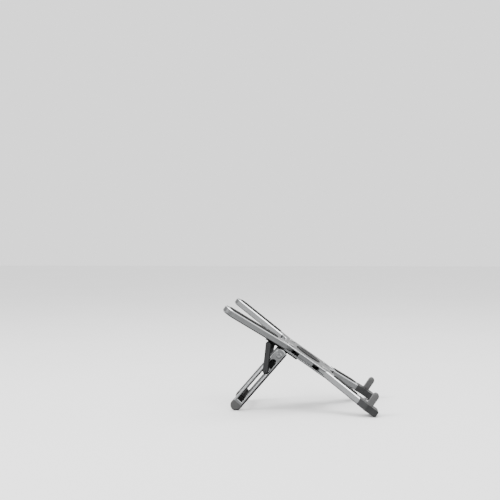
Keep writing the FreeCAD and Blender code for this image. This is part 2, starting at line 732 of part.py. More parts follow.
def leg_foot(side):
    """A rubber foot cap: half-round end with a level flat, and a pocket for the plate's tongue."""
    start = side_start(side, "(leg_inner - foot_proud)", "(leg_thick + 2 * foot_proud)")
    width = "(leg_thick + 2 * foot_proud)"
    round_end = cylinder(start, "0", FOOT_Z, "foot_radius + foot_proud", width, "x")
    above = box(start, "0 - 2 * foot_radius", FOOT_Z, width, "4 * foot_radius", "2 * foot_radius")
    round_end = cut(round_end, above)
    top = box(start, "0 - foot_radius - foot_proud", FOOT_Z,
              width, "2 * (foot_radius + foot_proud)", "foot_joint")
    tongue = box(side_start(side, "(leg_inner + leg_thick / 2 - foot_tongue_thick / 2)", "foot_tongue_thick"),
                 "0 - foot_tongue_width / 2", FOOT_Z + " - foot_tongue_end", "foot_tongue_thick",
                 "foot_tongue_width", "foot_tongue_end + foot_joint")
    level = "placement(vector(0; 0; %s); rotation(vector(1; 0; 0); 0 - tilt - leg_lean)) * " % FOOT_Z
    desk = box("0 - 50", "0 - 20", "0 - foot_height - 20", "100", "40", "20", level)
    return cut(fuse(round_end, top), tongue, desk)


def slot_bumper(side):
    """The dark block that closes the foot end of the slot."""
    start = side_start(side, "leg_inner", "leg_thick")
    block = box(start, "0 - slot_half", FOOT_Z + " + slot_foot",
                "leg_thick", "2 * slot_half", "bumper_length")
    return cut(block, foot_screw(side))


def foot_screw(side):
    """A flush screw that ties the foot bar to a bumper and its plate."""
    head = side_start(side, "(leg_inner + leg_thick - screw_head_height)", "screw_head_height")
    shank = side_start(side, "(leg_inner + leg_thick - foot_screw_length)", "foot_screw_length")
    rise = FOOT_Z + " + foot_bar_rise"
    return fuse(cylinder(head, "0", rise, "foot_screw_head", "screw_head_height", "x"),
                cylinder(shank, "0", rise, "screw_radius", "foot_screw_length", "x"))


for side_name, side in SIDES:
    keep(leg_plate(side), "leg_%s_plate" % side_name, LEG)
    keep(leg_foot(side), "leg_%s_foot" % side_name, LEG)
    keep(slot_bumper(side), "leg_%s_bumper" % side_name, LEG)


def cross_bar(rise, radius):
    """A round bar between the leg's two side plates."""
    return cylinder("0 - leg_inner", "0", "%s + %s" % (FOOT_Z, rise), radius, "2 * leg_inner", "x")


keep(cut(cross_bar("foot_bar_rise", "foot_bar_radius"), *mirrored_x(foot_screw)), "foot_bar", LEG)
keep(fuse(*mirrored_x(foot_screw)), "foot_bar_screws", LEG)

lugs = box("0 - leg_inner - leg_thick", "0 - slot_half", "0 - slot_top - slot_half - lug_length",
           "2 * (leg_inner + leg_thick)", "2 * slot_half", "lug_length")
between = box("0 - leg_inner", "0 - leg_width", "0 - slot_top - 2 * lug_length", "2 * leg_inner",
              "2 * leg_width", "3 * lug_length")
keep(fuse(cross_bar("top_bar_rise", "top_bar_radius"), cut(lugs, between)), "top_bar", LEG)


# ---------------------------------------------------------------- strut
def strut_link(side):
    """A strut link: a flat bar with round ends, bored for its stub and for the sliding rod."""
    start = side_start(side, "strut_inner", "strut_thick")
    bar = box(start, "0 - strut_width / 2", "0 - strut_length",
              "strut_thick", "strut_width", "strut_length + strut_tail")
    heights = ("strut_tail", "0 - strut_length")
    ends = [cylinder(start, "0", z, "strut_width / 2", "strut_thick", "x") for z in heights]
    face = flat_at_x(side * (sheet.strut_inner + sheet.strut_thick))
    body = ease(fuse(bar, *ends), "link_edge", face)
    stub_bore = cylinder(start + " - 1", "0", "0", "stub_radius + running_gap", "strut_thick + 2", "x")
    rod_bore = cylinder(start + " - 1", "0", "0 - strut_length", "slide_rod_radius", "strut_thick + 2", "x")
    return cut(body, stub_bore, rod_bore)


for side_name, side in SIDES:
    keep(strut_link(side), "strut_%s_link" % side_name, STRUT)

slide_half = "(strut_inner + strut_thick)"
slide_rod = cylinder("0 - " + slide_half, "0", "0 - strut_length",
                     "slide_rod_radius", "2 * " + slide_half, "x")
slide_heads = [
    cylinder(side_start(side, slide_half, "slide_head_height"), "0", "0 - strut_length",
             "slide_head_radius", "slide_head_height", "x")
    for side in (-1, 1)
]
keep(fuse(slide_rod, *slide_heads), "strut_rod", STRUT)

# ---------------------------------------------------------------- checks and files
doc.recompute()
for item in doc.Objects:
    if "Invalid" in item.State or "Error" in item.State:
        raise RuntimeError("%s failed: %s" % (item.Name, item.State))
os.makedirs("parts", exist_ok=True)
for item in made:
    if item.Shape.isNull() or not item.Shape.isValid():
        raise RuntimeError(item.Label + " has no valid shape")
    item.Shape.exportStep("parts/%s.step" % item.Label)
whole = Part.makeCompound([item.Shape for item in made])
print(len(made), "nodes", whole.BoundBox)
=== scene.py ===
"""Looks of a folding laptop stand: a tilted hub, four swing-out arms, and a slotted rear leg with a strut.

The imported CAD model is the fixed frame.  Its metal parts stay, with eased edges and procedural metals.  The
silicone, rubber and turned pieces are drawn here, in millimetres, in the axes of the part they belong to.
"""

import json
import math

import bmesh
import bpy
from mathutils import Matrix, Vector

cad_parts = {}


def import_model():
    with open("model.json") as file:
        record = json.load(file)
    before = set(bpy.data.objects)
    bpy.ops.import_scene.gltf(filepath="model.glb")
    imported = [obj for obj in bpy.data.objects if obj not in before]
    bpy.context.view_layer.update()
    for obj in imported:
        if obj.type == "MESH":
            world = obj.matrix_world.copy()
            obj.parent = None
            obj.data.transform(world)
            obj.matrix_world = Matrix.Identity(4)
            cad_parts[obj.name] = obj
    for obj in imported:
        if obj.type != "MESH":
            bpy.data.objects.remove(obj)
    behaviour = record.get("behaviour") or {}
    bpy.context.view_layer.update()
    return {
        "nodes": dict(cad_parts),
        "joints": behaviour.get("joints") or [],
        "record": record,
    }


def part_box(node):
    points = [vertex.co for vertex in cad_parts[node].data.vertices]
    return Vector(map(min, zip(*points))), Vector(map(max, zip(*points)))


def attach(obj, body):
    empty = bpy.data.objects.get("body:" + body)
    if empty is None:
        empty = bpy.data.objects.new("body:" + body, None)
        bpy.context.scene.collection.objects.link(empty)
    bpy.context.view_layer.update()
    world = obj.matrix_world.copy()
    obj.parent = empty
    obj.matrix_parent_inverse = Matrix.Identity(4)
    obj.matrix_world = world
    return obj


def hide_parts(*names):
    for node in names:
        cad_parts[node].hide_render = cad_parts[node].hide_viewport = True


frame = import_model()
nodes = frame["nodes"]
joints = {joint["name"]: joint for joint in frame["joints"]}
mounts = {mount["name"]: mount for mount in frame["record"]["mounts"]}

MM = 0.001
WELD_GAP = 0.002 * MM
SIDES = (("left", -1), ("right", 1))
ENDS = (("front", -1), ("rear", 1))


# ---------------------------------------------------------------- axes of the parts
def turn_x(angle):
    """A turn about +X by an angle in radians."""
    return Matrix.Rotation(angle, 4, "X")


def joint_point(name):
    """Where a joint's axis is, in metres."""
    return Vector(joints[name]["pos_m"])


HUB_HEIGHT = 7.2 * MM
FOOT_RISE = 5.8 * MM
ARM_FOLDS = [end + "_" + side + "_fold" for end, _ in ENDS for side, _ in SIDES]
top_normal = Vector(joints["front_left_fold"]["axis"])
tilt = math.atan2(-top_normal.y, top_normal.z)
hub_centre = sum((joint_point(name) for name in ARM_FOLDS), Vector()) / len(ARM_FOLDS)
# Top axes: x to the right, y to the rear along the arms, z the height over their underside.
TOP = Matrix.Translation(hub_centre - top_normal * HUB_HEIGHT / 2) @ turn_x(tilt)


def arm_axes(end, side):
    """Axes of one arm: origin on its pivot pin, y along the arm at rest."""
    name = "%s_%s_fold" % (end, side)
    spread = TOP.inverted() @ joint_point(name)
    angle = math.radians(joints[name]["range_deg"][1])
    sign = -dict(SIDES)[side] * dict(ENDS)[end]
    return TOP @ Matrix.Translation((spread.x, spread.y, 0)) @ Matrix.Rotation(sign * angle, 4, "Z")


leg_pivot = joint_point("leg_fold")
foot_centre = Vector(mounts["desk_rear"]["pos_m"]) + Vector((0, 0, FOOT_RISE))
leg_lean = math.atan2(foot_centre.y - leg_pivot.y, leg_pivot.z - foot_centre.z)
# Foot axes: origin at the centre of the round foot, z up along the leg.
FOOT = Matrix.Translation((0, foot_centre.y, foot_centre.z)) @ turn_x(leg_lean)


def box_in(node, axes):
    """Lowest and highest corner of a CAD node in the given axes, in millimetres."""
    inverse = axes.inverted()
    points = [inverse @ vertex.co / MM for vertex in nodes[node].data.vertices]
    low = Vector([min(point[i] for point in points) for i in range(3)])
    high = Vector([max(point[i] for point in points) for i in range(3)])
    return low, high


def solid_middles(node, axes):
    """Middle of each separate solid of a CAD node in the given axes, in millimetres."""
    shape = bmesh.new()
    shape.from_mesh(nodes[node].data)
    bmesh.ops.remove_doubles(shape, verts=shape.verts, dist=WELD_GAP)
    inverse = axes.inverted()
    waiting = set(shape.verts)
    middles = []
    while waiting:
        reached, found = set(), [next(iter(waiting))]
        while found:
            vertex = found.pop()
            if vertex in reached:
                continue
            reached.add(vertex)
            found += [edge.other_vert(vertex) for edge in vertex.link_edges]
        waiting -= reached
        points = [inverse @ vertex.co / MM for vertex in reached]
        spans = [(min(p[i] for p in points), max(p[i] for p in points)) for i in range(3)]
        middles.append(Vector([(low + high) / 2 for low, high in spans]))
    shape.free()
    return sorted(middles, key=lambda middle: tuple(round(value, 2) for value in middle))


# ---------------------------------------------------------------- procedural materials
def new_tree(name):
    """A material's node tree with its principled shader and its object coordinates."""
    made = bpy.data.materials.new(name)
    made.use_nodes = True
    tree = made.node_tree
    shader = tree.nodes["Principled BSDF"]
    place = tree.nodes.new("ShaderNodeTexCoord")
    return made, tree, shader, place


def noise(tree, place, size_mm, detail=3.0, stretch=(1, 1, 1)):
    """Noise whose features are about size_mm across, longer along the axes with a stretch above 1."""
    mapping = tree.nodes.new("ShaderNodeMapping")
    mapping.inputs["Scale"].default_value = [1 / amount for amount in stretch]
    tree.links.new(place.outputs["Object"], mapping.inputs["Vector"])
    made = tree.nodes.new("ShaderNodeTexNoise")
    made.inputs["Scale"].default_value = 1 / (size_mm * MM)
    made.inputs["Detail"].default_value = detail
    tree.links.new(mapping.outputs["Vector"], made.inputs["Vector"])
    return made.outputs["Fac"]


def spread(tree, value, low, high, start=0.3, end=0.7):
    """Map a value's range start..end to low..high."""
    made = tree.nodes.new("ShaderNodeMapRange")
    for name, number in (("From Min", start), ("From Max", end), ("To Min", low), ("To Max", high)):
        made.inputs[name].default_value = number
    tree.links.new(value, made.inputs["Value"])
    return made.outputs["Result"]


# Positions of a mix node's colour sockets.
MIX_COLOR_A, MIX_COLOR_B, MIX_COLOR_RESULT = 6, 7, 2


def blend_colors(tree, factor, first, second):
    """Mix two colours, or two colour outputs, by a factor output."""
    made = tree.nodes.new("ShaderNodeMix")
    made.data_type = "RGBA"
    tree.links.new(factor, made.inputs["Factor"])
    for socket, color in ((made.inputs[MIX_COLOR_A], first), (made.inputs[MIX_COLOR_B], second)):
        if isinstance(color, tuple):
            socket.default_value = (*color, 1)
        else:
            tree.links.new(color, socket)
    return made.outputs[MIX_COLOR_RESULT]


def bump(tree, shader, height, strength, distance_mm):
    """Bump the shader's normal by a height output."""
    made = tree.nodes.new("ShaderNodeBump")
    made.inputs["Strength"].default_value = strength
    made.inputs["Distance"].default_value = distance_mm * MM
    tree.links.new(height, made.inputs["Height"])
    tree.links.new(made.outputs["Normal"], shader.inputs["Normal"])


def grey(value, warmth=0.0):
    """A grey, a little bluer as warmth drops below 0."""
    return (value * (1 + warmth), value, value * (1 - warmth))


def cosine_to(tree, place, direction):
    """Cosine between the rest pose's normal and a direction."""
    made = tree.nodes.new("ShaderNodeVectorMath")
    made.operation = "DOT_PRODUCT"
    made.inputs[1].default_value = direction
    tree.links.new(place.outputs["Normal"], made.inputs[0])
    return made.outputs["Value"]


def turned_to(tree, place, direction, start, end):
    """Rises from 0 to 1 as the cosine between the rest normal and the direction goes from start to end."""
    return spread(tree, cosine_to(tree, place, direction), 0, 1, start, end)


def maths(tree, operation, *values):
    """Result of a maths node over one or two outputs."""
    made = tree.nodes.new("ShaderNodeMath")
    made.operation = operation
    for socket, value in zip(made.inputs, values):
        tree.links.new(value, socket)
    return made.outputs[0]


METAL_WARMTH = -0.02
# Straight down, and the cosines to it over which the metals' painted edge shade comes in.
DOWN = (0.0, 0.0, -1.0)
DOWN_COSINES = (-0.05, 0.12)
WALL_COSINES = (0.25, 0.4)
FACE_COSINES = (0.97, 0.998)
POLISHED_ROUGHNESS = 0.22


def edge_mask(tree, place, facing, walls):
    """0 on the faces turned to or from a direction, 1 on their edges; walls count as edges if asked."""
    size = maths(tree, "ABSOLUTE", cosine_to(tree, place, facing))
    off_face = spread(tree, size, 1, 0, *FACE_COSINES)
    if walls:
        return off_face
    return maths(tree, "MULTIPLY", spread(tree, size, 0, 1, *WALL_COSINES), off_face)


def blasted_metal(name, value, roughness, facing, painted_highlight, shaded, walls=False):
    """Fine blasted, anodised aluminium with smoother edges; a painted highlight lightens its edges where they
    face up and painted shade darkens them where they face down, and its walls too if asked.
    """
    made, tree, shader, place = new_tree(name)
    cloud = noise(tree, place, 14, 2)
    speckle = noise(tree, place, 0.16, 2)
    low, high = grey(value * 0.93, METAL_WARMTH), grey(value * 1.05, METAL_WARMTH)
    color = blend_colors(tree, spread(tree, cloud, 0, 1), low, high)
    rough = spread(tree, speckle, roughness - 0.05, roughness + 0.07)
    edges = edge_mask(tree, place, facing, walls)
    # Painted shade mask: 1 where the rest normal faces down, 0 where it faces up.
    painted_shade_below = turned_to(tree, place, DOWN, *DOWN_COSINES)
    # The edges' colour: a painted highlight where they face up, painted shade where they face down.
    rim = blend_colors(tree, painted_shade_below, grey(painted_highlight, METAL_WARMTH), grey(shaded, METAL_WARMTH))
    mixed = tree.nodes.new("ShaderNodeMix")
    mixed.inputs["B"].default_value = POLISHED_ROUGHNESS
    tree.links.new(edges, mixed.inputs["Factor"])
    tree.links.new(rough, mixed.inputs["A"])
    tree.links.new(blend_colors(tree, edges, color, rim), shader.inputs["Base Color"])
    tree.links.new(mixed.outputs["Result"], shader.inputs["Roughness"])
    shader.inputs["Metallic"].default_value = 1.0
    bump(tree, shader, speckle, 0.12, 0.02)
    return made


def painted_metal(name, value, roughness, metallic=0.35, gloss=0.2):
    """Satin paint over metal, with a faint orange peel and rubbed patches."""
    made, tree, shader, place = new_tree(name)
    peel = noise(tree, place, 0.5, 2)
    rubbed = noise(tree, place, 7, 5)
    low, high = grey(value, METAL_WARMTH), grey(value * 1.3, METAL_WARMTH)
    color = blend_colors(tree, spread(tree, rubbed, 0, 1, 0.35, 0.75), low, high)
    tree.links.new(color, shader.inputs["Base Color"])
    tree.links.new(spread(tree, rubbed, roughness + 0.06, roughness - 0.06), shader.inputs["Roughness"])
    shader.inputs["Metallic"].default_value = metallic
    shader.inputs["Specular IOR Level"].default_value = gloss
    bump(tree, shader, peel, 0.1, 0.02)
    return made


def turned_steel(name, value):
    """Turned steel with fine lines and a satin surface."""
    made, tree, shader, place = new_tree(name)
    lines = noise(tree, place, 0.12, 3, (1, 8, 8))
    patina = noise(tree, place, 4, 3)
    color = blend_colors(tree, spread(tree, patina, 0, 1), grey(value * 0.88), grey(value * 1.05))
    tree.links.new(color, shader.inputs["Base Color"])
    tree.links.new(spread(tree, lines, 0.22, 0.36), shader.inputs["Roughness"])
    shader.inputs["Metallic"].default_value = 1.0
    bump(tree, shader, lines, 0.1, 0.01)
    return made


def soft_rubber(name, value, roughness=0.72, sheen=0.05, painted_shade_below=1.0):
    """Matt silicone or rubber: fine pores, dusty patches and a weak sheen; painted shade darkens it where it
    faces down.
    """
    made, tree, shader, place = new_tree(name)
    dust = noise(tree, place, 5, 5)
    grain = noise(tree, place, 0.35, 4)
    color = blend_colors(tree, spread(tree, dust, 0, 1, 0.35, 0.75), grey(value), grey(value * 1.22))
    # Painted shade: the colour turns darker where the rest normal faces down.
    color = blend_colors(tree, turned_to(tree, place, DOWN, 0.1, 0.6), color, grey(value * painted_shade_below))
    tree.links.new(color, shader.inputs["Base Color"])
    tree.links.new(spread(tree, grain, roughness - 0.08, roughness + 0.1), shader.inputs["Roughness"])
    shader.inputs["Sheen Weight"].default_value = sheen
    shader.inputs["Specular IOR Level"].default_value = 0.15
    bump(tree, shader, grain, 0.25, 0.03)
    return made


LEG_FACE = (1.0, 0.0, 0.0)
TOP_FACE = tuple(top_normal)
looks = {
    # On each metal, one value is the painted highlight on upward edges and the next is the painted shade on
    # downward edges.
    "arm_aluminium": blasted_metal("arm_metal_look", 0.12, 0.38, TOP_FACE, painted_highlight=0.7, shaded=0.004),
    "hub_aluminium": blasted_metal("hub_metal_look", 0.12, 0.40, TOP_FACE, painted_highlight=0.7, shaded=0.01),
    "leg_aluminium": blasted_metal("leg_metal_look", 0.12, 0.40, LEG_FACE, painted_highlight=0.3, shaded=0.002,
                                   walls=True),
    "cap_metal": painted_metal("cap_look", 0.018, 0.5),
    "strut_metal": blasted_metal("strut_look", 0.033, 0.42, LEG_FACE, painted_highlight=0.03, shaded=0.003),
    "dark_metal": painted_metal("black_metal_look", 0.004, 0.8, metallic=0.0, gloss=0.03),
    "steel": turned_steel("steel_look", 0.26),
    "washer": soft_rubber("washer_look", 0.012, 0.55, sheen=0.0),
    "silicone": soft_rubber("grip_silicone_look", 0.012),
    "lip_silicone": soft_rubber("lip_silicone_look", 0.055, 0.6),
    # The foot rubber gets strong painted shade where it faces down.
    "foot_rubber": soft_rubber("foot_rubber_look", 0.045, 0.7, painted_shade_below=0.1),
    "dark_plastic": soft_rubber("dark_plastic_look", 0.003, 0.8, sheen=0.0),
}
slot_of = {part["node"]: part["material_slot"] for part in frame["record"]["subparts"]}


# ---------------------------------------------------------------- CAD nodes that stay
def ease_edges(name, width_mm):
    """Round off a CAD node's edges with modifiers; its mesh and its place stay as they are."""
    part = nodes[name]
    weld = part.modifiers.new("weld", "WELD")
    weld.merge_threshold = 0.001 * MM
    flats = part.modifiers.new("flats", "DECIMATE")
    flats.decimate_type = "DISSOLVE"
    flats.angle_limit = math.radians(0.5)
    edges = part.modifiers.new("edges", "BEVEL")
    edges.width = width_mm * MM
    edges.segments = 2
    edges.limit_method = "ANGLE"
    edges.angle_limit = math.radians(30)
    edges.use_clamp_overlap = True
    shading = part.modifiers.new("shading", "WEIGHTED_NORMAL")
    shading.keep_sharp = False


# Endings of node names and the width in millimetres of their eased edges; the first that fits counts.
EASED = (
    ("hub_top_plate", 0.15), ("hub_bottom_plate", 0.2), ("leg_bracket", 0.25), ("_bar", 0.2),
    ("_bumper", 0.2), ("_plate", 0.12), ("_arm", 0.12), ("_cap", 0.12), ("_link", 0.1),
)
for name, part in nodes.items():
    part.data.materials.clear()
    part.data.materials.append(looks[slot_of[name]])
    for ending, width in EASED:
        if name.endswith(ending):
            ease_edges(name, width)
            break


# ---------------------------------------------------------------- drawing pieces
def loft(shape, rings):
    """Join closed rings of points, all of one length, with faces, and close both ends."""
    rows = [[shape.verts.new(point) for point in ring] for ring in rings]
    total = len(rows[0])
    for lower, upper in zip(rows, rows[1:]):
        for index in range(total):
            after = (index + 1) % total
            shape.faces.new((lower[index], lower[after], upper[after], upper[index]))
    shape.faces.new(list(reversed(rows[0])))
    shape.faces.new(rows[-1])


def piece(name, shape, body, slot, replaced, sharp=35):
    """Turn a shape in metres into a piece that rides on a body and stands for CAD nodes."""
    bmesh.ops.recalc_face_normals(shape, faces=shape.faces)
    mesh = bpy.data.meshes.new(name)
    shape.to_mesh(mesh)
    shape.free()
    mesh.shade_smooth()
    mesh.set_sharp_from_angle(angle=math.radians(sharp))
    mesh.materials.append(looks[slot])
    made = bpy.data.objects.new(name, mesh)
    bpy.context.scene.collection.objects.link(made)
    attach(made, body)
    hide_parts(*replaced)
    return made


def in_axes(shape, axes):
    """Carry a shape from millimetres in the given axes to metres in the frame."""
    shape.transform(axes @ Matrix.Scale(MM, 4))
    return shape


def stadium(half_width, half_length, inset, z, steps=14):
    """A ring of two half circles joined by straight sides, drawn in by the inset."""
    radius = half_width - inset
    straight = half_length - half_width
    ring = []
    for end in (1, -1):
        for step in range(steps + 1):
            angle = math.pi * step / steps
            x, y = radius * math.cos(angle), straight + radius * math.sin(angle)
            ring.append(Vector((end * x, end * y, z)))
    return ring


# A silicone piece's rim, as rows of inset from its side and drop from its top, and the field inside it.
SOFT_RIM = ((0, 0.4), (0.12, 0.12), (0.4, 0), (1.0, 0), (1.2, 0.1))
FIELD_INSET = 1.6
FIELD_DROP = 0.35
FIELD_GAP = 0.25
RIB_PITCH = 1.6
RIB_HALF = 0.45
RIB_HEIGHT = 0.3
SHORTEST_RIB = 0.8
SIDE_GAP = 0.04
RIB_END_EASE = 0.25
RIB_END_SCALE = 0.35


def rib(shape, centre, half_length):
    """A low round ridge along x, smaller at its two ends."""
    profile = [(math.cos(math.pi * step / 6), math.sin(math.pi * step / 6)) for step in range(7)]
    inner = half_length - RIB_END_EASE
    rings = []
    stations = ((-half_length, RIB_END_SCALE), (-inner, 1), (inner, 1), (half_length, RIB_END_SCALE))
    for x, scale in stations:
        rings.append([centre + Vector((x, u * RIB_HALF * scale, v * RIB_HEIGHT * scale)) for u, v in profile])
    loft(shape, rings)


def grip_strip(name, node, axes, body):
    """A silicone strip: round ends, soft rim, and a sunken field of cross ribs."""
    low, high = box_in(node, axes)
    middle = (low + high) / 2
    half_width = (high.x - low.x) / 2 - SIDE_GAP
    half_length = (high.y - low.y) / 2 - SIDE_GAP
    rim = [(0, low.z + 0.02)] + [(inset, high.z - drop) for inset, drop in SOFT_RIM]
    rim += [(FIELD_INSET - 0.3, high.z - FIELD_DROP), (FIELD_INSET, high.z - FIELD_DROP)]
    shape = bmesh.new()
    loft(shape, [stadium(half_width, half_length, inset, z) for inset, z in rim])
    field_width = half_width - FIELD_INSET
    count = int((half_length - FIELD_INSET) / RIB_PITCH)
    for index in range(-count, count + 1):
        y = index * RIB_PITCH
        over = abs(y) - (half_length - half_width)
        room = math.sqrt(max(field_width ** 2 - max(over, 0) ** 2, 0)) - FIELD_GAP
        if room > SHORTEST_RIB:
            rib(shape, Vector((0, y, high.z - FIELD_DROP - 0.01)), room)
    for vertex in shape.verts:
        vertex.co += Vector((middle.x, middle.y, 0))
    return piece(name, in_axes(shape, axes), body, "silicone", [node])


def circle(radius, z, sides=0, steps=48):
    """A ring about z: round, or with that many flats at the given distance."""
    ring = []
    for step in range(steps):
        angle = 2 * math.pi * step / steps
        reach = radius
        if sides:
            part_turn = 2 * math.pi / sides
            reach = radius / math.cos(angle % part_turn - part_turn / 2)
        ring.append(Vector((reach * math.cos(angle), reach * math.sin(angle), z)))
    return ring


def turned(name, profile, places, body, slot, replaced, steps=48):
    """A piece turned about z, at each of several places; a profile row is height, radius and flats."""
    shape = bmesh.new()
    for place in places:
        single = bmesh.new()
        loft(single, [circle(row[1], row[0], row[2] if len(row) > 2 else 0, steps) for row in profile])
        in_axes(single, place)
        mesh = bpy.data.meshes.new("turned")
        single.to_mesh(mesh)
        single.free()
        shape.from_mesh(mesh)
        bpy.data.meshes.remove(mesh)
    return piece(name, shape, body, slot, replaced)


# ---------------------------------------------------------------- silicone on the top
for end, _ in ENDS:
    for side, _ in SIDES:
        arm = "%s_%s" % (end, side)
        grip_strip(arm + "_grip_strip", arm + "_pad", arm_axes(end, side), arm + "_arm_unit")


# One ridge of the hub's disc, as rows of drop from the top and distance inwards.
RIDGE = ((FIELD_DROP, 0), (FIELD_DROP, 0.7), (0.12, 0.85), (0.05, 1.2), (0.12, 1.55))
RIDGE_PITCH = 1.7
PLAIN_RADIUS = 4


def ridged_disc(node):
    """Profile of the hub's grip disc: a soft rim and rings of ridges round a plain middle."""
    low, high = box_in(node, TOP)
    radius = (high.x - low.x) / 2 - SIDE_GAP / 2
    profile = [(low.z + 0.01, radius)] + [(high.z - drop, radius - inset) for inset, drop in SOFT_RIM]
    reach = radius - FIELD_INSET
    while reach > PLAIN_RADIUS:
        profile += [(high.z - drop, reach - inwards) for drop, inwards in RIDGE]
        reach -= RIDGE_PITCH
    return profile + [(high.z - FIELD_DROP, reach), (high.z - FIELD_DROP, 0.5)]


turned("hub_grip_disc", ridged_disc("hub_pad"), [TOP], "hub", "silicone", ["hub_pad"], 96)


# ---------------------------------------------------------------- lips
LIP_CORNER = 3.0
LIP_EDGE = 1.3
GROOVES = 4
GROOVE_START = 2.2
GROOVE_PITCH = 1.9
# One groove across the rear face, as rows of rise and depth.
GROOVE = ((0, 0), (0.2, 0.3), (0.5, 0.3), (0.7, 0))


def quarter_stations(half_width, radius, steps):
    """Places along x that follow a quarter circle at the end of a half width."""
    return [half_width - radius * (1 - math.sin(math.pi / 2 * step / steps)) for step in range(steps + 1)]


def fall_from(radius, inside):
    """How far a quarter circle has dropped at a distance inside its end."""
    return radius - math.sqrt(radius ** 2 - max(radius - inside, 0) ** 2)


def lip_outline(half_thick, height):
    """Side view of a lip in y and z: grooves up the rear face, a round top and a plain front face."""
    outline = [(half_thick, 0), (half_thick, 1.2)]
    for index in range(GROOVES):
        start = GROOVE_START + index * GROOVE_PITCH
        outline += [(half_thick - depth, start + rise) for rise, depth in GROOVE]
    straight = height - half_thick
    for step in range(15):
        angle = math.pi * step / 14
        outline.append((half_thick * math.cos(angle), straight + half_thick * math.sin(angle)))
    return outline + [(-half_thick, straight / 2), (-half_thick, 1.2), (-half_thick, 0)]


def lip(side):
    """A silicone lip with round top corners, eased ends and grip grooves on its rear face."""
    node = "front_%s_lip" % side
    low, high = box_in(node, TOP)
    middle = (low + high) / 2
    half_width = (high.x - low.x) / 2
    half_thick = (high.y - low.y) / 2
    height = high.z - low.z
    outline = lip_outline(half_thick, height)
    ends = quarter_stations(half_width, LIP_CORNER, 12) + quarter_stations(half_width, LIP_EDGE, 6)
    ends = sorted(set(round(x, 3) for x in ends))
    rings = []
    for x in [-x for x in reversed(ends)] + ends:
        inside = max(half_width - abs(x), 0)
        tall = 1 - fall_from(LIP_CORNER, inside) / height
        thin = 1 - fall_from(LIP_EDGE, inside) / half_thick
        rings.append([Vector((middle.x + x, middle.y + y * thin, low.z + z * tall)) for y, z in outline])
    shape = bmesh.new()
    loft(shape, rings)
    return piece("front_%s_soft_lip" % side, in_axes(shape, TOP), "front_%s_arm_unit" % side,
                 "lip_silicone", [node], 30)


for side, _ in SIDES:
    lip(side)


# ---------------------------------------------------------------- rubber feet
SHOE_OUTER_EDGE = 1.6
SHOE_INNER_EDGE = 0.6
TREAD_GROOVE_HALF = 0.3
TREAD_GROOVE_DEEP = 0.35


def rimmed(outline, low_x, high_x, low_edge, high_edge, steps=5):
    """A plate with the outline in y and z; its rims are rounded off towards the middle of its top side."""
    reach = max(abs(y) for y, z in outline)
    top = max(z for y, z in outline)
    tall = top - min(z for y, z in outline)
    rings = []
    for end, edge in ((low_x, low_edge), (high_x, -high_edge)):
        turn = []
        for step in range(steps + 1):
            angle = math.pi / 2 * step / steps
            inset = abs(edge) * (1 - math.sin(angle))
            x = end + edge * (1 - math.cos(angle))
            turn.append([Vector((x, y * (1 - inset / reach), top + (z - top) * (1 - inset / tall)))
                         for y, z in outline])
        rings += turn if edge > 0 else reversed(turn)
    shape = bmesh.new()
    loft(shape, rings)
    return shape


def arc(radius, start, end, steps):
    """Points of an arc about the origin, from a start angle to an end angle."""
    angles = [start + (end - start) * step / steps for step in range(steps + 1)]
    return [(radius * math.cos(angle), radius * math.sin(angle)) for angle in angles]


def shoe_outline(radius, top):
    """Side view of a shoe in the foot axes: a D whose round end has a level tread with two grooves."""
    tread = FOOT_RISE / MM
    half_flat = math.sqrt(radius ** 2 - tread ** 2)
    down = Vector((-math.sin(leg_lean), -math.cos(leg_lean)))
    along = Vector((-down.y, down.x))
    down_angle = math.atan2(down.y, down.x) % (2 * math.pi)
    opening = math.acos(tread / radius)
    outline = [(-radius, top)] + arc(radius, math.pi, down_angle - opening, 10)
    half, floor_half, deep = TREAD_GROOVE_HALF, TREAD_GROOVE_HALF * 0.7, TREAD_GROOVE_DEEP
    for place in (-0.45, 0.45):
        for shift, depth in ((-half, 0), (-floor_half, deep), (floor_half, deep), (half, 0)):
            spot = down * (tread - depth) + along * (place * half_flat + shift)
            outline.append((spot.x, spot.y))
    return outline + arc(radius, down_angle + opening, 2 * math.pi, 20) + [(radius, top)]


def shoe(side):
    """A leg's rubber shoe, rounder on its outer rim than on its inner one."""
    node = "leg_%s_foot" % side
    low, high = box_in(node, FOOT)
    edges = (SHOE_OUTER_EDGE, SHOE_INNER_EDGE) if side == "left" else (SHOE_INNER_EDGE, SHOE_OUTER_EDGE)
    shape = rimmed(shoe_outline((high.y - low.y) / 2, high.z), low.x, high.x, *edges)
    return piece("leg_%s_shoe" % side, in_axes(shape, FOOT), "leg_unit", "foot_rubber", [node])


def toe_strip(side):
    """The rubber strip under a front cap, with its edges eased."""
    node = "front_%s_foot" % side
    shape = bmesh.new()
    shape.from_mesh(nodes[node].data)
    bmesh.ops.remove_doubles(shape, verts=shape.verts, dist=WELD_GAP)
    bmesh.ops.dissolve_limit(shape, angle_limit=math.radians(1), verts=shape.verts, edges=shape.edges)
    bmesh.ops.bevel(shape, geom=list(shape.edges), offset=0.25 * MM, segments=3, profile=0.5, affect="EDGES",
                    clamp_overlap=True)
    return piece("front_%s_toe_strip" % side, shape, "front_%s_arm_unit" % side, "foot_rubber", [node])


for side, _ in SIDES:
    shoe(side)
    toe_strip(side)


# ---------------------------------------------------------------- pins and screws
def places_of(node, axes, height):
    """Axes at each solid of a node, with z along the given axes' z and the origin at the height."""
    return [axes @ Matrix.Translation((middle.x * MM, middle.y * MM, height * MM))
            for middle in solid_middles(node, axes)]


def socket(top, head, flats, depth):
    """End of a profile: a chamfered head's rim, then a hexagonal socket."""
    return [(top - 0.25, head), (top, head - 0.3), (top, flats + 0.35), (top, flats * 1.08, 6),
            (top - 0.15, flats, 6), (top - depth, flats, 6)]


PIN_HEAD = 4.6
PIN_SHANK = 3.0
PIN_SOCKET = 1.7
PIN_SOCKET_DEEP = 1.6


